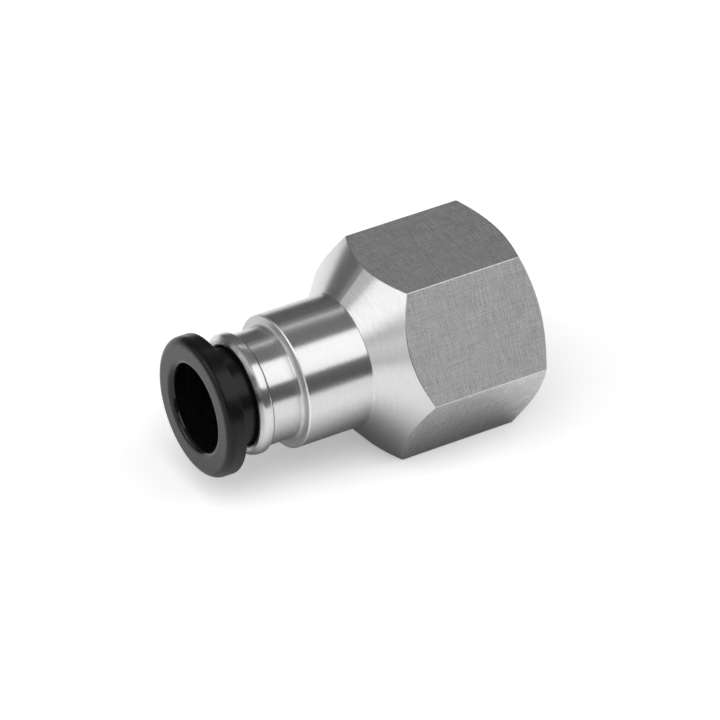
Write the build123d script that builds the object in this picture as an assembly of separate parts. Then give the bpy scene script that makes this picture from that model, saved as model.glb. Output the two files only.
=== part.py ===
from build123d import *

import os
from math import cos, radians, sqrt, tan

# A straight push-in fitting for a 3/8 inch tube, with a hexagonal end that is threaded inside.
# Millimetres. The fitting lies along X on one flat of its hexagon, with the release collet
# towards -X and the threaded port towards +X. The origin is on the axis at the middle of the hexagon.

# Hexagon and cone
HEX_ACROSS_FLATS = 22.0
HEX_LENGTH = 15.4
HEX_EDGE_RADIUS = 0.1
HEX_END_FACE_INSET = 0.55
HEX_END_CHAMFER_ANGLE = 30.0
CONE_ANGLE = 48.5
CONE_ROOT_RADIUS = 0.3

# Threaded port, bored to the root of a G 3/8 thread
PORT_THREAD_ROOT_DIAMETER = 16.66
PORT_THREAD_DEPTH = 12.5
PORT_MOUTH_CHAMFER = 0.6
PORT_RELIEF_DEPTH = 0.17
PORT_RELIEF_WIDTH = 1.6

# Tube, and the walls round it from the inside out: collet, guide ring's spigot, nose
TUBE_DIAMETER = 9.525
TUBE_CLEARANCE = 0.05
COLLET_WALL = 0.69
GUIDE_SPIGOT_WALL = 0.39
NOSE_WALL = 0.35

# Barrel and nose of the turned body
BARREL_WALL = 0.95
BARREL_LENGTH = 8.0
BARREL_EDGE_BREAK = 0.12
NOSE_LENGTH = 3.8
NOSE_ROOT_RADIUS = 0.4
NOSE_EDGE_BREAK = 0.12
SHOULDER_WALL = 0.9
GRIP_SEAT_STEP = 0.6

# Guide ring pressed into the nose
BEAD_HEIGHT = 0.5
BEAD_LENGTH = 1.6
BEAD_FRONT_CHAMFER = 0.55
BEAD_FRONT_RADIUS = 0.8
BEAD_BACK_RADIUS = 0.35
GUIDE_LIP_RADIUS = 0.08
GUIDE_MOUTH_RADIUS = 0.55
GUIDE_SPIGOT_LENGTH = 1.5

# Release collet
COLLET_FLANGE_HEIGHT = 2.4
COLLET_FLANGE_THICKNESS = 2.15
COLLET_FLANGE_RADIUS = 0.95
COLLET_FLANGE_BACK_RADIUS = 0.12
COLLET_STANDOFF = 2.55
COLLET_TRAVEL = 2.0
COLLET_TIP_WALL = 0.35
COLLET_TIP_TAPER = 0.6
COLLET_MOUTH_RADIUS = 0.7
COLLET_ENTRY_STEP = 0.06
COLLET_FINGERS = 6
COLLET_SLOT_WIDTH = 0.8
COLLET_SLOT_LENGTH = 4.4
BARB_LAND = 0.45
BARB_RAMP = 0.7

# Toothed grip ring
GRIP_SHEET = 0.3
GRIP_TEETH = 12
GRIP_SLIT_WIDTH = 0.45
GRIP_TOOTH_LEAN = 45.0
GRIP_TOOTH_BITE = 0.2

# Back-up ring, tube seal and stop bushing
BACKUP_LENGTH = 2.2
BACKUP_EDGE_BREAK = 0.15
SEAL_SECTION = 1.95
TUBE_INSERTION = 18.8
WATERWAY_DIAMETER = 8.0
BUSHING_LENGTH = 6.4
BUSHING_EDGE_BREAK = 0.25

# Clearances
NECK_RUNNING_CLEARANCE = 0.06
BARB_RUNNING_CLEARANCE = 0.08
BARB_STOP_CLEARANCE = 0.05
TIP_TO_TOOTH_CLEARANCE = 0.12
GRIP_END_PLAY = 0.03
GRIP_RIM_CLEARANCE = 0.05
TOOTH_FLEX_GAP = 0.15
BACKUP_CLEARANCE = 0.02
SEAL_SIDE_PLAY = 0.05
SEAL_WALL_CLEARANCE = 0.02
TUBE_POCKET_CLEARANCE = 0.1

# Radii that several pieces share
HEX_CORNER_RADIUS = HEX_ACROSS_FLATS / sqrt(3)
TUBE_RADIUS = TUBE_DIAMETER / 2
COLLET_BORE_RADIUS = TUBE_RADIUS + TUBE_CLEARANCE
NECK_RADIUS = COLLET_BORE_RADIUS + COLLET_WALL
GUIDE_BORE_RADIUS = NECK_RADIUS + NECK_RUNNING_CLEARANCE
NOSE_BORE_RADIUS = GUIDE_BORE_RADIUS + GUIDE_SPIGOT_WALL
NOSE_RADIUS = NOSE_BORE_RADIUS + NOSE_WALL
CAVITY_RADIUS = NOSE_BORE_RADIUS + GRIP_SEAT_STEP
BARREL_RADIUS = CAVITY_RADIUS + BARREL_WALL
TUBE_POCKET_RADIUS = TUBE_RADIUS + TUBE_POCKET_CLEARANCE
GRIP_TIP_RADIUS = TUBE_RADIUS - GRIP_TOOTH_BITE
GRIP_ROOT_RADIUS = NOSE_BORE_RADIUS + GRIP_RIM_CLEARANCE

# Places along the axis, from the port towards the collet
PORT_FACE = HEX_LENGTH / 2
THREAD_END = PORT_FACE - PORT_THREAD_DEPTH
PORT_FLOOR = THREAD_END - PORT_RELIEF_WIDTH
HEX_FRONT = -HEX_LENGTH / 2
CONE_ROOT = HEX_FRONT - (HEX_CORNER_RADIUS - BARREL_RADIUS) / tan(radians(CONE_ANGLE))
SHOULDER = CONE_ROOT - BARREL_LENGTH
NOSE_END = SHOULDER - NOSE_LENGTH
GUIDE_FRONT = NOSE_END - BEAD_LENGTH
SPIGOT_END = NOSE_END + GUIDE_SPIGOT_LENGTH
FLANGE_BACK = GUIDE_FRONT - COLLET_STANDOFF
FLANGE_FRONT = FLANGE_BACK - COLLET_FLANGE_THICKNESS
CAVITY_FRONT = SHOULDER + SHOULDER_WALL
GRIP_FRONT = CAVITY_FRONT + GRIP_END_PLAY
BACKUP_FRONT = GRIP_FRONT + GRIP_SHEET + GRIP_END_PLAY
BACKUP_BACK = BACKUP_FRONT + BACKUP_LENGTH
BUSHING_FRONT = BACKUP_BACK + SEAL_SECTION + 2 * SEAL_SIDE_PLAY
BUSHING_BACK = BUSHING_FRONT + BUSHING_LENGTH
TUBE_STOP = FLANGE_FRONT + TUBE_INSERTION

# The tooth faces are cones that lean into the fitting
TOOTH_SLOPE = tan(radians(GRIP_TOOTH_LEAN))
TOOTH_TIP_FRONT = GRIP_FRONT + (GRIP_ROOT_RADIUS - GRIP_TIP_RADIUS) * TOOTH_SLOPE
TOOTH_TIP_BACK = TOOTH_TIP_FRONT + GRIP_SHEET / cos(radians(GRIP_TOOTH_LEAN))
COLLET_TIP_RADIUS = COLLET_BORE_RADIUS + COLLET_TIP_WALL
TOOTH_AT_COLLET_TIP = TOOTH_TIP_FRONT - (COLLET_TIP_RADIUS - GRIP_TIP_RADIUS) * TOOTH_SLOPE
COLLET_TIP = TOOTH_AT_COLLET_TIP - TIP_TO_TOOTH_CLEARANCE - COLLET_TRAVEL


def turned(outline):
    """Solid of revolution about the fitting's axis, from (along, radius) points of its half section."""
    return revolve(section(outline), Axis.X)


def section(outline):
    return make_face(Polyline(*outline, close=True))


def rounded(face, corner, radius):
    """The half section with the corner nearest to a given point rounded."""
    nearest = face.vertices().sort_by_distance(Vector(*corner))[0]
    return fillet(nearest, radius)


def hexagon_bar():
    """Hexagonal bar that lies on a flat."""
    hexagon = RegularPolygon(HEX_ACROSS_FLATS / 2, 6, major_radius=False)
    return extrude(Plane.YZ.offset(NOSE_END) * hexagon, PORT_FACE - NOSE_END)


def turned_outside():
    """What the lathe leaves of the bar: nose, shoulder, barrel, cone, and the chamfered port end."""
    end_circle = HEX_ACROSS_FLATS / 2 - HEX_END_FACE_INSET
    bar_radius = HEX_CORNER_RADIUS * 1.02
    cone_end = HEX_FRONT + (bar_radius - HEX_CORNER_RADIUS) / tan(radians(CONE_ANGLE))
    end_chamfer = (bar_radius - end_circle) * tan(radians(HEX_END_CHAMFER_ANGLE))
    face = section([
        (NOSE_END, 0),
        (NOSE_END, NOSE_RADIUS - NOSE_EDGE_BREAK),
        (NOSE_END + NOSE_EDGE_BREAK, NOSE_RADIUS),
        (SHOULDER, NOSE_RADIUS),
        (SHOULDER, BARREL_RADIUS - BARREL_EDGE_BREAK),
        (SHOULDER + BARREL_EDGE_BREAK, BARREL_RADIUS),
        (CONE_ROOT, BARREL_RADIUS),
        (cone_end, bar_radius),
        (PORT_FACE - end_chamfer, bar_radius),
        (PORT_FACE, end_circle),
        (PORT_FACE, 0),
    ])
    face = rounded(face, (SHOULDER, NOSE_RADIUS), NOSE_ROOT_RADIUS)
    face = rounded(face, (CONE_ROOT, BARREL_RADIUS), CONE_ROOT_RADIUS)
    seam_over_top_flat = Rot(X=90)
    return seam_over_top_flat * revolve(face, Axis.X)


def bored_inside():
    """Nose bore, seal cavity, thread relief and port, as one turned core."""
    thread_radius = PORT_THREAD_ROOT_DIAMETER / 2
    relief_radius = thread_radius + PORT_RELIEF_DEPTH
    return turned([
        (NOSE_END, 0),
        (NOSE_END, NOSE_BORE_RADIUS),
        (CAVITY_FRONT, NOSE_BORE_RADIUS),
        (CAVITY_FRONT, CAVITY_RADIUS),
        (PORT_FLOOR, CAVITY_RADIUS),
        (PORT_FLOOR, relief_radius),
        (THREAD_END, relief_radius),
        (THREAD_END, thread_radius),
        (PORT_FACE - PORT_MOUTH_CHAMFER, thread_radius),
        (PORT_FACE, thread_radius + PORT_MOUTH_CHAMFER),
        (PORT_FACE, 0),
    ])


def fitting_body():
    """The turned and bored bar, with the hexagon's straight and curved edges rounded a little."""
    body = (hexagon_bar() & turned_outside()) - bored_inside()
    outside_flats = HEX_ACROSS_FLATS / 2
    long_edges = [
        edge for edge in body.edges().filter_by(GeomType.LINE)
        if Vector(0, edge.center().Y, edge.center().Z).length > outside_flats
    ]
    curved_edges = body.edges().filter_by(GeomType.HYPERBOLA)
    return fillet([*long_edges, *curved_edges], HEX_EDGE_RADIUS)


def guide_ring():
    """Ring with a rounded bead outside and a spigot that is pressed into the nose."""
    bead_radius = NOSE_RADIUS + BEAD_HEIGHT
    lip_radius = bead_radius - BEAD_FRONT_CHAMFER
    face = section([
        (GUIDE_FRONT, GUIDE_BORE_RADIUS),
        (GUIDE_FRONT, lip_radius),
        (GUIDE_FRONT + BEAD_FRONT_CHAMFER, bead_radius),
        (NOSE_END, bead_radius),
        (NOSE_END, NOSE_BORE_RADIUS),
        (SPIGOT_END, NOSE_BORE_RADIUS),
        (SPIGOT_END, GUIDE_BORE_RADIUS),
    ])
    face = rounded(face, (GUIDE_FRONT, GUIDE_BORE_RADIUS), GUIDE_MOUTH_RADIUS)
    face = rounded(face, (GUIDE_FRONT, lip_radius), GUIDE_LIP_RADIUS)
    face = rounded(face, (GUIDE_FRONT + BEAD_FRONT_CHAMFER, bead_radius), BEAD_FRONT_RADIUS)
    face = rounded(face, (NOSE_END, bead_radius), BEAD_BACK_RADIUS)
    return revolve(face, Axis.X)


def release_collet():
    """Flanged sleeve whose slotted end has barbs that catch behind the guide ring."""
    flange_radius = NECK_RADIUS + COLLET_FLANGE_HEIGHT
    barb_radius = NOSE_BORE_RADIUS - BARB_RUNNING_CLEARANCE
    barb_front = SPIGOT_END + BARB_STOP_CLEARANCE
    barb_end = barb_front + BARB_LAND
    entry_radius = COLLET_BORE_RADIUS + COLLET_ENTRY_STEP
    face = section([
        (FLANGE_FRONT, entry_radius),
        (FLANGE_FRONT, flange_radius),
        (FLANGE_BACK, flange_radius),
        (FLANGE_BACK, NECK_RADIUS),
        (barb_front, NECK_RADIUS),
        (barb_front, barb_radius),
        (barb_end, barb_radius),
        (barb_end + BARB_RAMP, NECK_RADIUS),
        (COLLET_TIP - COLLET_TIP_TAPER, NECK_RADIUS),
        (COLLET_TIP, COLLET_TIP_RADIUS),
        (COLLET_TIP, COLLET_BORE_RADIUS),
        (FLANGE_BACK, COLLET_BORE_RADIUS),
        (FLANGE_BACK, entry_radius),
    ])
    face = rounded(face, (FLANGE_FRONT, entry_radius), COLLET_MOUTH_RADIUS)
    face = rounded(face, (FLANGE_FRONT, flange_radius), COLLET_FLANGE_RADIUS)
    face = rounded(face, (FLANGE_BACK, flange_radius), COLLET_FLANGE_BACK_RADIUS)
    slot = Box(COLLET_SLOT_LENGTH, COLLET_SLOT_WIDTH, barb_radius + COLLET_SLOT_WIDTH,
               align=(Align.MAX, Align.CENTER, Align.MIN))
    slots = [Rot(X=360 / COLLET_FINGERS * i) * Pos(X=COLLET_TIP) * slot for i in range(COLLET_FINGERS)]
    return revolve(face, Axis.X) - slots


def grip_ring():
    """Ring of spring steel sheet, slit into teeth that lean into the fitting and bite the tube."""
    rim_radius = CAVITY_RADIUS - GRIP_RIM_CLEARANCE
    back_bend = GRIP_TIP_RADIUS + (TOOTH_TIP_BACK - GRIP_FRONT - GRIP_SHEET) / TOOTH_SLOPE
    ring = turned([
        (GRIP_FRONT, rim_radius),
        (GRIP_FRONT, GRIP_ROOT_RADIUS),
        (TOOTH_TIP_FRONT, GRIP_TIP_RADIUS),
        (TOOTH_TIP_BACK, GRIP_TIP_RADIUS),
        (GRIP_FRONT + GRIP_SHEET, back_bend),
        (GRIP_FRONT + GRIP_SHEET, rim_radius),
    ])
    slit = Box(TOOTH_TIP_BACK - GRIP_FRONT, GRIP_SLIT_WIDTH, GRIP_ROOT_RADIUS,
               align=(Align.MIN, Align.CENTER, Align.MIN))
    slits = [Rot(X=360 / GRIP_TEETH * i) * Pos(X=GRIP_FRONT) * slit for i in range(GRIP_TEETH)]
    return ring - slits


def backup_ring():
    """Plastic ring behind the grip ring: it backs the rim, leaves the teeth room to bend, and backs the seal."""
    ring_radius = CAVITY_RADIUS - BACKUP_CLEARANCE
    cone_inner = TOOTH_TIP_BACK + TOOTH_FLEX_GAP - (TUBE_POCKET_RADIUS - GRIP_TIP_RADIUS) * TOOTH_SLOPE
    cone_outer_radius = TUBE_POCKET_RADIUS + (cone_inner - BACKUP_FRONT) / TOOTH_SLOPE
    return turned([
        (BACKUP_FRONT, cone_outer_radius),
        (BACKUP_FRONT, ring_radius),
        (BACKUP_BACK - BACKUP_EDGE_BREAK, ring_radius),
        (BACKUP_BACK, ring_radius - BACKUP_EDGE_BREAK),
        (BACKUP_BACK, TUBE_POCKET_RADIUS),
        (cone_inner, TUBE_POCKET_RADIUS),
    ])


def tube_seal():
    """Rubber ring that is squeezed between the tube and the body."""
    centre_radius = CAVITY_RADIUS - SEAL_WALL_CLEARANCE - SEAL_SECTION / 2
    centre = (BACKUP_BACK + BUSHING_FRONT) / 2
    return Pos(X=centre) * Rot(Y=90) * Torus(centre_radius, SEAL_SECTION / 2)


def stop_bushing():
    """Bushing pressed in from the port: it holds the seal, guides the tube's end and stops it."""
    waterway_radius = WATERWAY_DIAMETER / 2
    return turned([
        (BUSHING_FRONT, TUBE_POCKET_RADIUS + BUSHING_EDGE_BREAK),
        (BUSHING_FRONT, CAVITY_RADIUS - BUSHING_EDGE_BREAK),
        (BUSHING_FRONT + BUSHING_EDGE_BREAK, CAVITY_RADIUS),
        (BUSHING_BACK - BUSHING_EDGE_BREAK, CAVITY_RADIUS),
        (BUSHING_BACK, CAVITY_RADIUS - BUSHING_EDGE_BREAK),
        (BUSHING_BACK, waterway_radius + BUSHING_EDGE_BREAK),
        (BUSHING_BACK - BUSHING_EDGE_BREAK, waterway_radius),
        (TUBE_STOP, waterway_radius),
        (TUBE_STOP, TUBE_POCKET_RADIUS),
        (BUSHING_FRONT + BUSHING_EDGE_BREAK, TUBE_POCKET_RADIUS),
    ])


nodes = {
    "fitting_body": fitting_body(),
    "guide_ring": guide_ring(),
    "release_collet": release_collet(),
    "grip_ring": grip_ring(),
    "backup_ring": backup_ring(),
    "tube_seal": tube_seal(),
    "stop_bushing": stop_bushing(),
}

os.makedirs("parts", exist_ok=True)
for name, shape in nodes.items():
    export_step(shape, f"parts/{name}.step")
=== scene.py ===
from math import atan2, cos, degrees, pi, radians, sin, tan

import bpy
from mathutils import Matrix, Vector


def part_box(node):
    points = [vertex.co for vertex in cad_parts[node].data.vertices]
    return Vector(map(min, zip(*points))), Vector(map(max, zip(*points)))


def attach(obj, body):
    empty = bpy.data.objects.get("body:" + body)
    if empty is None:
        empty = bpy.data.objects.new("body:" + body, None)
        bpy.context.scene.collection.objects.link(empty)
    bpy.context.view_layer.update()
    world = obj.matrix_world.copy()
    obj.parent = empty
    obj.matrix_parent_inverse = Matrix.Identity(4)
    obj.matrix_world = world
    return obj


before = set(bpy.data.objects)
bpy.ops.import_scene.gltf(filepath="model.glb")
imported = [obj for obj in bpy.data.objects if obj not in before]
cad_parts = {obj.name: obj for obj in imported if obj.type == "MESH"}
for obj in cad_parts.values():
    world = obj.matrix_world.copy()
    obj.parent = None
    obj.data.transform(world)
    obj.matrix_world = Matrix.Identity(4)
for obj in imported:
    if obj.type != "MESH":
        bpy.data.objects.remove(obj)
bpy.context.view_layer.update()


# Table and camera. The fitting lies on one flat of its hexagon on a wide white board. The
# photographer stood well back with a long lens, to the left of the fitting and above it.
millimetre = 0.001
board_width = 6000 * millimetre
flat_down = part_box("fitting_body")[0][2]
bpy.ops.object.select_all(action="DESELECT")
bpy.ops.mesh.primitive_plane_add(size=board_width, location=(0, 0, flat_down))
white_board = bpy.context.object
white_board.name = "white_board"
bpy.ops.object.transform_apply(location=True, rotation=True, scale=True)


class Finish:
    """A node material that is built up step by step, mostly on object coordinates."""

    def __init__(self, name, base, metallic, roughness):
        self.material = bpy.data.materials.new(name)
        self.material.use_nodes = True
        self.nodes = self.material.node_tree.nodes
        self.links = self.material.node_tree.links
        self.shader = self.nodes["Principled BSDF"]
        self.shader.inputs["Base Color"].default_value = (*base, 1)
        self.shader.inputs["Metallic"].default_value = metallic
        self.shader.inputs["Roughness"].default_value = roughness
        self.coordinates = self.nodes.new("ShaderNodeTexCoord")
        split = self.nodes.new("ShaderNodeSeparateXYZ")
        self.links.new(self.coordinates.outputs["Object"], split.inputs[0])
        self.x, self.y, self.z = split.outputs

    def fill(self, node, values):
        """Sets a node's first inputs: numbers as they are, and anything else by a link."""
        for socket, value in zip(node.inputs, values):
            if isinstance(value, (int, float)):
                socket.default_value = value
            else:
                self.links.new(value, socket)

    def math(self, operation, *values):
        node = self.nodes.new("ShaderNodeMath")
        node.operation = operation
        self.fill(node, values)
        return node.outputs[0]

    def vector(self, *values):
        node = self.nodes.new("ShaderNodeCombineXYZ")
        self.fill(node, values)
        return node.outputs[0]

    def noise(self, place, scale=1.0, detail=2.0, roughness=0.5):
        node = self.nodes.new("ShaderNodeTexNoise")
        node.inputs["Scale"].default_value = scale
        node.inputs["Detail"].default_value = detail
        node.inputs["Roughness"].default_value = roughness
        self.links.new(place, node.inputs["Vector"])
        return node.outputs["Fac"]

    def spread(self, value, low, high, to_low=0.0, to_high=1.0):
        node = self.nodes.new("ShaderNodeMapRange")
        self.fill(node, (value, low, high, to_low, to_high))
        return node.outputs[0]

    def tint(self, value, dark, light):
        node = self.nodes.new("ShaderNodeMix")
        node.data_type = "RGBA"
        self.links.new(value, node.inputs["Factor"])
        node.inputs["A"].default_value = (*dark, 1)
        node.inputs["B"].default_value = (*light, 1)
        self.links.new(node.outputs["Result"], self.shader.inputs["Base Color"])

    def rough(self, value):
        self.links.new(value, self.shader.inputs["Roughness"])

    def bump(self, height, depth):
        node = self.nodes.new("ShaderNodeBump")
        node.inputs["Strength"].default_value = 1.0
        node.inputs["Distance"].default_value = depth
        self.links.new(height, node.inputs["Height"])
        self.links.new(node.outputs["Normal"], self.shader.inputs["Normal"])


# The camera sees the board white all over, with only the lamps' shadow on it. To the steel, and to
# the light that bounces, the board carries painted shade where the fitting closes it in from above:
# an occlusion mask darkens its colour and its glow there.
black = (0, 0, 0)
board_white = (0.9, 0.9, 0.9)
board_glow = 0.3
fitting_reach = 60 * millimetre
closed_in = 0.42
opened_up = 0.85
darkest_painted_shade = 0.20
board_paint = Finish("board_paint", board_white, metallic=0.0, roughness=0.9)
board_paint.shader.inputs["Specular IOR Level"].default_value = 0.1
ray_kind = board_paint.nodes.new("ShaderNodeLightPath").outputs
open_above = board_paint.nodes.new("ShaderNodeAmbientOcclusion")
open_above.samples = 8
open_above.inputs["Distance"].default_value = fitting_reach
openness = board_paint.spread(open_above.outputs["AO"], closed_in, opened_up, darkest_painted_shade, 1.0)
board_shade = board_paint.math("MAXIMUM", ray_kind["Is Camera Ray"], openness)
board_paint.tint(board_shade, black, board_white)
in_steel = board_paint.math("MAXIMUM", ray_kind["Is Glossy Ray"], ray_kind["Is Transmission Ray"])
glow_in_steel = board_paint.math("MULTIPLY", in_steel, openness)
seen_glow = board_paint.math("MAXIMUM", ray_kind["Is Camera Ray"], glow_in_steel)
glow = board_paint.nodes.new("ShaderNodeEmission")
board_paint.links.new(board_paint.math("MULTIPLY", seen_glow, board_glow), glow.inputs["Strength"])
board_sum = board_paint.nodes.new("ShaderNodeAddShader")
board_paint.links.new(board_paint.shader.outputs[0], board_sum.inputs[0])
board_paint.links.new(glow.outputs[0], board_sum.inputs[1])
board_paint.links.new(board_sum.outputs[0], board_paint.nodes["Material Output"].inputs["Surface"])
white_board.data.materials.append(board_paint.material)

camera_azimuth = radians(-31.983)
camera_elevation = radians(35.311)
camera_roll = radians(1.253)
camera_distance = 600 * millimetre
focal_pixels = 5527.4
image_pixels = 720
hexagon_front = -7.7 * millimetre
aim_right = -1.55 * millimetre
aim_up = -1.278 * millimetre
towards_camera = Vector((
    sin(camera_azimuth) * cos(camera_elevation),
    -cos(camera_azimuth) * cos(camera_elevation),
    sin(camera_elevation),
))
level_right = Vector((cos(camera_azimuth), sin(camera_azimuth), 0))
level_up = towards_camera.cross(level_right)
camera_right = level_right * cos(camera_roll) + level_up * sin(camera_roll)
camera_up = level_up * cos(camera_roll) - level_right * sin(camera_roll)
camera_place = (
    Vector((hexagon_front, 0, 0)) + camera_right * aim_right + camera_up * aim_up
    + towards_camera * camera_distance
)
lens = bpy.data.cameras.new("long_lens")
lens.sensor_width = 36
lens.lens = focal_pixels / image_pixels * lens.sensor_width
lens.clip_start = 0.01
camera = bpy.data.objects.new("camera", lens)
bpy.context.collection.objects.link(camera)
camera.matrix_world = Matrix.Translation(camera_place) @ Matrix((
    camera_right, camera_up, towards_camera)).transposed().to_4x4()
bpy.context.scene.camera = camera


# Studio light. A long soft box hangs in front of the fitting and above it. A smaller one stands to
# its left between two lit cards, a narrow strip hangs behind, and the rest of the room is dark. One
# more lamp is there for the table, and the steel doesn't mirror it.
room_below = 0.09
room_above = 0.24
world = bpy.data.worlds.new("dark_room")
world.use_nodes = True
nodes, links = world.node_tree.nodes, world.node_tree.links
sky_direction = nodes.new("ShaderNodeTexCoord")
sky_split = nodes.new("ShaderNodeSeparateXYZ")
links.new(sky_direction.outputs["Generated"], sky_split.inputs[0])
paler_upwards = nodes.new("ShaderNodeMapRange")
paler_upwards.inputs["To Min"].default_value = room_below
paler_upwards.inputs["To Max"].default_value = room_above
links.new(sky_split.outputs["Z"], paler_upwards.inputs["Value"])
links.new(paler_upwards.outputs[0], nodes["Background"].inputs["Color"])
bpy.context.scene.world = world
bpy.context.scene.view_settings.view_transform = "Standard"

fitting_middle = Vector((-12, 0, 0)) * millimetre


def soft_box(name, towards, long_side, length, height, radiance):
    """Rectangular lamp at `towards` from the fitting's middle, in metres, that faces the fitting."""
    lamp = bpy.data.lights.new(name, "AREA")
    lamp.shape = "RECTANGLE"
    lamp.size = length
    lamp.size_y = height
    lamp.energy = radiance * pi * length * height
    lamp_object = bpy.data.objects.new(name, lamp)
    bpy.context.collection.objects.link(lamp_object)
    back = Vector(towards)
    distance = back.length
    back.normalize()
    along = (Vector(long_side) - back * back.dot(Vector(long_side))).normalized()
    turn = Matrix((along, back.cross(along), back)).transposed().to_4x4()
    lamp_object.matrix_world = Matrix.Translation(fitting_middle + back * distance) @ turn
    return lamp_object


soft_box("front_soft_box", (0.15, -0.537, 0.843), (1, 0, 0), 1.9, 0.85, 1.4)
soft_box("left_soft_box", (-0.86, 0.19, 0.45), (0, 1, 0), 0.64, 0.46, 1.65)
soft_box("back_left_card", (-0.69, 0.62, 0.375), (0.67, 0.74, 0), 0.30, 0.40, 0.7)
soft_box("left_card", (-0.93, -0.28, 0.2), (0, 1, 0), 0.42, 0.36, 0.95)
soft_box("back_strip", (0.3, 0.53, 0.80), (1, 0, 0), 1.2, 0.14, 0.72)
table_light = soft_box("table_light", (-0.24, -0.09, 0.46), (1, 0, 0), 0.5, 0.5, 1.4)
table_light.visible_glossy = False


# Body. One piece of stainless steel turned from hexagonal bar. The lathe leaves fine rings on the
# barrel, nose, cone and end faces, and a belt leaves crossed scratches on the flats.
def turned_steel(name, light, dark, roughness, anisotropic, line_width):
    """Steel from the lathe: scratches that run about X, and broader rings under them."""
    finish = Finish(name, light, 1.0, roughness)
    scratch_length = 1.4 * millimetre
    ring_width = 3 * line_width
    scratch_share, ring_share = 0.7, 0.3
    faced_share = 0.6
    roughness_change = 0.01
    radius = finish.math("SQRT", finish.math(
        "ADD",
        finish.math("MULTIPLY", finish.y, finish.y),
        finish.math("MULTIPLY", finish.z, finish.z)))
    along_profile = finish.math("ADD", finish.x, finish.math("MULTIPLY", radius, faced_share))
    scratches = finish.noise(finish.vector(
        finish.math("DIVIDE", along_profile, line_width),
        finish.math("DIVIDE", finish.y, scratch_length),
        finish.math("DIVIDE", finish.z, scratch_length)), detail=3.0, roughness=0.65)
    rings = finish.noise(finish.vector(
        finish.math("DIVIDE", along_profile, ring_width), 0.0, 0.0), detail=4.0, roughness=0.7)
    lines = finish.math(
        "ADD",
        finish.math("MULTIPLY", scratches, scratch_share),
        finish.math("MULTIPLY", rings, ring_share))
    finish.tint(finish.spread(lines, 0.36, 0.64), dark, light)
    finish.rough(finish.spread(
        lines, 0.35, 0.65, roughness + roughness_change, roughness - roughness_change))
    finish.bump(lines, 0.0001 * millimetre)
    around = finish.nodes.new("ShaderNodeTangent")
    around.direction_type = "RADIAL"
    around.axis = "X"
    finish.links.new(around.outputs[0], finish.shader.inputs["Tangent"])
    finish.shader.inputs["Anisotropic"].default_value = anisotropic
    finish.shader.inputs["Anisotropic Rotation"].default_value = 0.25
    return finish.material


def belt_ground_steel(name, light, dark, roughness):
    """Steel off the belt: scratches along and across the bar, and a fine grain."""
    finish = Finish(name, light, 1.0, roughness)
    turn = finish.nodes.new("ShaderNodeVectorMath")
    turn.operation = "CROSS_PRODUCT"
    finish.links.new(finish.coordinates.outputs["Normal"], turn.inputs[0])
    turn.inputs[1].default_value = (1, 0, 0)
    over = finish.nodes.new("ShaderNodeVectorMath")
    over.operation = "DOT_PRODUCT"
    finish.links.new(turn.outputs["Vector"], over.inputs[0])
    finish.links.new(finish.coordinates.outputs["Object"], over.inputs[1])
    across = over.outputs["Value"]
    grain_size = 0.075 * millimetre
    grain_share = 0.8
    roughness_change = 0.04
    grain = finish.noise(finish.coordinates.outputs["Object"], scale=1 / grain_size, detail=1.0)
    height = finish.math("MULTIPLY", grain, grain_share)
    # Each pass has a lean in degrees, a scratch width and length in millimetres, and its share.
    passes = ((4, 0.07, 2.4, 0.55), (-7, 0.08, 1.8, 0.35), (88, 0.07, 2.6, 0.4))
    for lean, width, length, share in passes:
        lean_cosine = cos(radians(lean))
        lean_sine = sin(radians(lean))
        over_scratch = finish.math(
            "SUBTRACT",
            finish.math("MULTIPLY", finish.x, lean_cosine),
            finish.math("MULTIPLY", across, lean_sine))
        along_scratch = finish.math(
            "ADD",
            finish.math("MULTIPLY", finish.x, lean_sine),
            finish.math("MULTIPLY", across, lean_cosine))
        layer = lean * 1.7
        scratches = finish.noise(finish.vector(
            finish.math("DIVIDE", over_scratch, width * millimetre),
            finish.math("DIVIDE", along_scratch, length * millimetre),
            layer), detail=2.0, roughness=0.6)
        height = finish.math("ADD", height, finish.math("MULTIPLY", scratches, share))
    even = finish.math("DIVIDE", height, grain_share + sum(share for *_, share in passes))
    finish.tint(finish.spread(even, 0.42, 0.58), dark, light)
    finish.rough(finish.spread(
        even, 0.4, 0.6, roughness + roughness_change, roughness - roughness_change))
    finish.bump(even, 0.005 * millimetre)
    return finish.material


lathe_finish = turned_steel(
    "turned_stainless", light=(0.665, 0.665, 0.66), dark=(0.605, 0.605, 0.605),
    roughness=0.28, anisotropic=0.9, line_width=0.04 * millimetre)
cone_finish = turned_steel(
    "turned_cone", light=(0.69, 0.69, 0.685), dark=(0.59, 0.59, 0.59),
    roughness=0.26, anisotropic=0.75, line_width=0.045 * millimetre)
shoulder_finish = turned_steel(
    "faced_shoulder", light=(0.68, 0.68, 0.675), dark=(0.60, 0.60, 0.60),
    roughness=0.50, anisotropic=0.1, line_width=0.08 * millimetre)
flat_finish = belt_ground_steel(
    "ground_flats", light=(0.82, 0.82, 0.815), dark=(0.40, 0.40, 0.40), roughness=0.44)
# Painted highlight: broken edges get a lighter steel colour than the faces, so that they show as
# thin bright lines.
edge_highlight_finish = turned_steel(
    "broken_edges", light=(0.80, 0.80, 0.79), dark=(0.74, 0.74, 0.74),
    roughness=0.32, anisotropic=0.0, line_width=0.10 * millimetre)
# Painted shade: a dark steel colour for the narrow joint between the nose and the guide ring's bead,
# where the bead shades it.
seam_shade_finish = turned_steel(
    "painted_seam_shade", light=(0.22, 0.22, 0.22), dark=(0.14, 0.14, 0.14),
    roughness=0.35, anisotropic=0.0, line_width=0.10 * millimetre)


def dress(node_name, *finishes):
    """Gives a CAD node its finishes, in the order of their slots, and returns its mesh."""
    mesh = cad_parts[node_name].data
    mesh.materials.clear()
    for finish in finishes:
        mesh.materials.append(finish)
    return mesh


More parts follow.
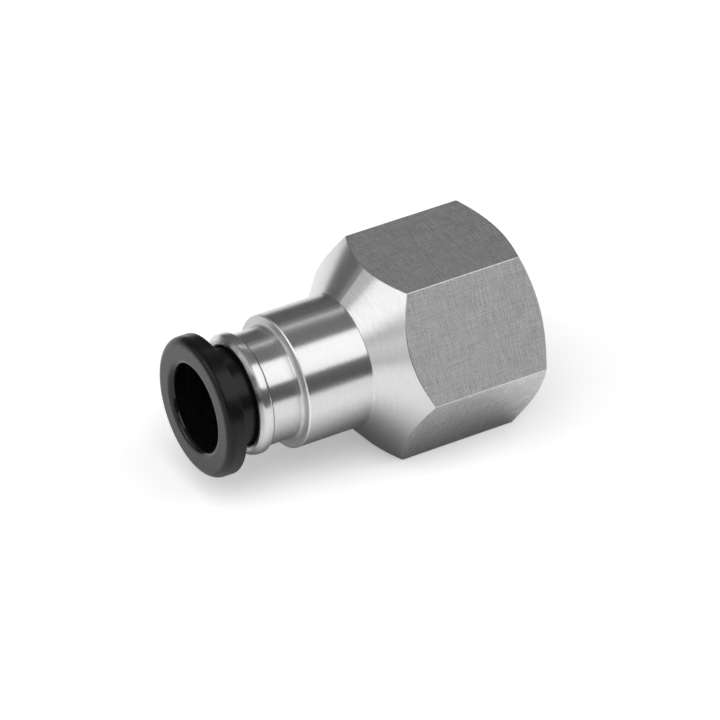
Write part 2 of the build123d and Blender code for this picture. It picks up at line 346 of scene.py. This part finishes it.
touch = 0.02 * millimetre
half_across_flats = -flat_down
barrel_radius = 7.5 * millimetre
cone_root = -12.3 * millimetre
cone_angle = radians(48.5)
cone_slack = 0.12 * millimetre
shoulder_place = -20.3 * millimetre
shoulder_inner_radius = 6.5 * millimetre
fillet_outer_radius = 6.8 * millimetre
fillet_lean = -0.35
nose_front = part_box("fitting_body")[0][0]
seam_back = nose_front + 0.13 * millimetre
seam_inner_radius = 6.1 * millimetre
back_lean = 0.4
flat_degrees = 1
corner_edge = 0.1 * millimetre
barrel_edge = 0.2 * millimetre
lathe, cone, shoulder, flat, broken_edge, seam = range(6)
body_mesh = dress(
    "fitting_body", lathe_finish, cone_finish, shoulder_finish, flat_finish, edge_highlight_finish,
    seam_shade_finish)
for face in body_mesh.polygons:
    normal, place = face.normal, face.center
    from_axis = Vector((0, place.y, place.z))
    radius = from_axis.length
    outward = normal.dot(from_axis) > 0
    turn_about = degrees(atan2(normal.y, normal.z)) % 60
    off_flat = min(turn_about, 60 - turn_about)
    cone_radius = barrel_radius + (place.x - cone_root) * tan(cone_angle)
    in_front = place.x < shoulder_place
    # Painted shade on the nose's front edge, right behind the guide ring's bead.
    if place.x < seam_back and radius > seam_inner_radius:
        face.material_index = seam
    elif abs(place.x - shoulder_place) < touch and radius > shoulder_inner_radius:
        face.material_index = shoulder
    elif outward and in_front and radius < fillet_outer_radius and normal.x < fillet_lean:
        face.material_index = shoulder
    elif not outward or normal.x > back_lean:
        face.material_index = lathe
    elif normal.dot(from_axis) > half_across_flats - touch and off_flat < flat_degrees:
        face.material_index = flat
    elif place.x > cone_root + touch and abs(radius - cone_radius) < cone_slack:
        face.material_index = cone
    # Broken edges of the hexagon and the barrel take the lighter steel of the painted edge
    # highlight.
    elif radius > half_across_flats - corner_edge:
        face.material_index = broken_edge
    elif place.x < shoulder_place + barrel_edge and radius > barrel_radius - barrel_edge:
        face.material_index = broken_edge


# Thread of the port. It is tapped in the body: right-handed, with 19 turns to the inch, its start
# cut back by the mouth's chamfer and its end open to the relief groove.
thread_pitch = 1.337 * millimetre
thread_turns = 11
thread_steps = 72
thread_root = 8.33 * millimetre
thread_crest = 7.475 * millimetre
thread_sunk = 0.03 * millimetre
thread_root_width = 1.114 * millimetre
thread_crest_width = 0.223 * millimetre
thread_last = -4.8 * millimetre
ridge_height = thread_root + thread_sunk - thread_crest
bpy.ops.object.select_all(action="DESELECT")
bpy.ops.mesh.primitive_plane_add(
    size=1, rotation=(pi / 2, 0, 0),
    location=(thread_last - thread_pitch, 0, thread_root + thread_sunk - ridge_height / 2))
thread = bpy.context.object
thread.name = "port_thread"
thread.scale = (thread_root_width, ridge_height, 1)
bpy.ops.object.transform_apply(location=True, rotation=True, scale=True)
bpy.ops.object.mode_set(mode="EDIT")
bpy.ops.mesh.select_all(action="DESELECT")
bpy.ops.object.mode_set(mode="OBJECT")
for point in thread.data.vertices:
    point.select = point.co.z < thread_root - ridge_height / 2
bpy.ops.object.mode_set(mode="EDIT")
bpy.ops.mesh.select_mode(type="VERT")
bpy.ops.transform.resize(value=(thread_crest_width / thread_root_width, 1, 1))
bpy.ops.mesh.select_all(action="SELECT")
bpy.ops.mesh.delete(type="ONLY_FACE")
bpy.ops.object.mode_set(mode="OBJECT")
helix = thread.modifiers.new("helix", "SCREW")
helix.axis = "X"
helix.angle = 2 * pi
helix.screw_offset = thread_pitch
helix.iterations = thread_turns
helix.steps = helix.render_steps = thread_steps
helix.use_merge_vertices = False
bpy.ops.object.modifier_apply(modifier=helix.name)
bpy.ops.object.mode_set(mode="EDIT")
bpy.ops.mesh.select_all(action="DESELECT")
bpy.ops.mesh.select_mode(type="EDGE")
bpy.ops.mesh.select_non_manifold(extend=False, use_wire=False, use_boundary=True)
bpy.ops.mesh.edge_face_add()
bpy.ops.mesh.select_all(action="SELECT")
bpy.ops.mesh.normals_make_consistent(inside=False)
bpy.ops.mesh.bisect(
    plane_co=(thread_last, 0, 0), plane_no=(1, 0, 0), use_fill=True, clear_inner=True)
bpy.ops.object.mode_set(mode="OBJECT")
port_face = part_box("fitting_body")[1][0]
mouth_chamfer = 0.6 * millimetre
mouth_radius = thread_root + mouth_chamfer
mouth_depth = 3 * millimetre
bpy.ops.object.select_all(action="DESELECT")
bpy.ops.mesh.primitive_cone_add(
    vertices=96, radius1=mouth_radius - mouth_depth, radius2=mouth_radius + mouth_depth,
    depth=2 * mouth_depth, location=(port_face, 0, 0), rotation=(0, pi / 2, 0))
mouth_cutter = bpy.context.object
bpy.ops.object.transform_apply(location=True, rotation=True, scale=True)
bpy.context.view_layer.objects.active = thread
mouth_cut = thread.modifiers.new("mouth", "BOOLEAN")
mouth_cut.operation = "DIFFERENCE"
mouth_cut.solver = "EXACT"
mouth_cut.object = mouth_cutter
bpy.ops.object.modifier_apply(modifier=mouth_cut.name)
bpy.data.objects.remove(mouth_cutter)
thread.data.materials.append(lathe_finish)
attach(thread, "housing")


# Guide ring. Turned stainless steel, pressed into the nose: its bead is what shows between the nose
# and the black collet, and its bore is the collet's slide.
guide_seam_reach = 0.35 * millimetre
as_turned, guide_seam_shade = range(2)
guide_mesh = dress("guide_ring", lathe_finish, seam_shade_finish)
for face in guide_mesh.polygons:
    # Painted shade on the bead's back face, where it meets the nose.
    if face.normal.x > back_lean and abs(face.center.x - nose_front) < guide_seam_reach:
        face.material_index = guide_seam_shade
    else:
        face.material_index = as_turned


# Release collet. Moulded in black acetal with a fine spark-eroded skin. It slides in the guide ring,
# and its flange is what the fitter presses to free the tube.
def moulded(name, light, dark, roughness, grain, depth):
    """Plastic or rubber from a mould: a fine pebbled skin with slow changes of shine."""
    finish = Finish(name, light, 0.0, roughness)
    place = finish.coordinates.outputs["Object"]
    patch = 14 * grain
    roughness_change = 0.04
    pebbles = finish.noise(place, scale=1 / grain, detail=3.0, roughness=0.6)
    patches = finish.noise(place, scale=1 / patch, detail=2.0)
    finish.tint(finish.spread(patches, 0.35, 0.65), dark, light)
    finish.rough(finish.spread(
        finish.math("ADD", patches, pebbles), 0.75, 1.25,
        roughness - roughness_change, roughness + roughness_change))
    finish.bump(pebbles, depth)
    return finish


collet_skin = moulded(
    "black_acetal_skin", light=(0.0045, 0.0045, 0.005), dark=(0.003, 0.003, 0.0035),
    roughness=0.28, grain=0.12 * millimetre, depth=0.0018 * millimetre)
collet_skin.shader.inputs["IOR"].default_value = 1.33
pressed_skin = moulded(
    "pressed_acetal_skin", light=(0.0045, 0.0045, 0.005), dark=(0.003, 0.003, 0.0035),
    roughness=0.27, grain=0.12 * millimetre, depth=0.0018 * millimetre)
pressed_skin.shader.inputs["IOR"].default_value = 1.45
rubbed_skin = moulded(
    "rubbed_acetal_skin", light=(0.004, 0.004, 0.0045), dark=(0.003, 0.003, 0.0035),
    roughness=0.15, grain=0.12 * millimetre, depth=0.0008 * millimetre)
rubbed_skin.shader.inputs["IOR"].default_value = 1.42
as_moulded, pressed, rubbed = range(3)
collet_mesh = dress(
    "release_collet", collet_skin.material, pressed_skin.material, rubbed_skin.material)
front_lean = -0.97
mouth_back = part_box("release_collet")[0][0] + 1.5 * millimetre
mouth_outer_radius = 5.9 * millimetre
for face in collet_mesh.polygons:
    from_axis = Vector((0, face.center.y, face.center.z))
    if face.normal.x < front_lean:
        face.material_index = pressed
    elif face.center.x < mouth_back and from_axis.length < mouth_outer_radius:
        face.material_index = rubbed
    else:
        face.material_index = as_moulded


# Grip ring. Stamped from spring steel sheet, with twelve teeth that bite the tube. It lies loose in
# the nose, between the body's shoulder and the back-up ring.
spring_finish = turned_steel(
    "spring_sheet", light=(0.58, 0.575, 0.56), dark=(0.48, 0.475, 0.46),
    roughness=0.24, anisotropic=0.3, line_width=0.08 * millimetre)
dress("grip_ring", spring_finish)


# Back-up ring. Moulded in white acetal: it carries the rim of the grip ring, leaves room for its
# teeth to bend, and keeps the seal from being squeezed forward.
white_skin = moulded(
    "white_acetal_skin", light=(0.80, 0.79, 0.75), dark=(0.74, 0.73, 0.69),
    roughness=0.42, grain=0.15 * millimetre, depth=0.004 * millimetre)
dress("backup_ring", white_skin.material)


# Tube seal. A nitrile rubber ring, moulded and lightly greased. It lies in the groove between the
# back-up ring and the stop bushing, and seals on the tube.
rubber_skin = moulded(
    "black_rubber_skin", light=(0.020, 0.020, 0.021), dark=(0.013, 0.013, 0.014),
    roughness=0.45, grain=0.2 * millimetre, depth=0.006 * millimetre)
dress("tube_seal", rubber_skin.material)


# Stop bushing. Turned stainless steel, pressed in from the port: it holds the seal in its groove,
# guides the tube's end and stops it.
dress("stop_bushing", lathe_finish)
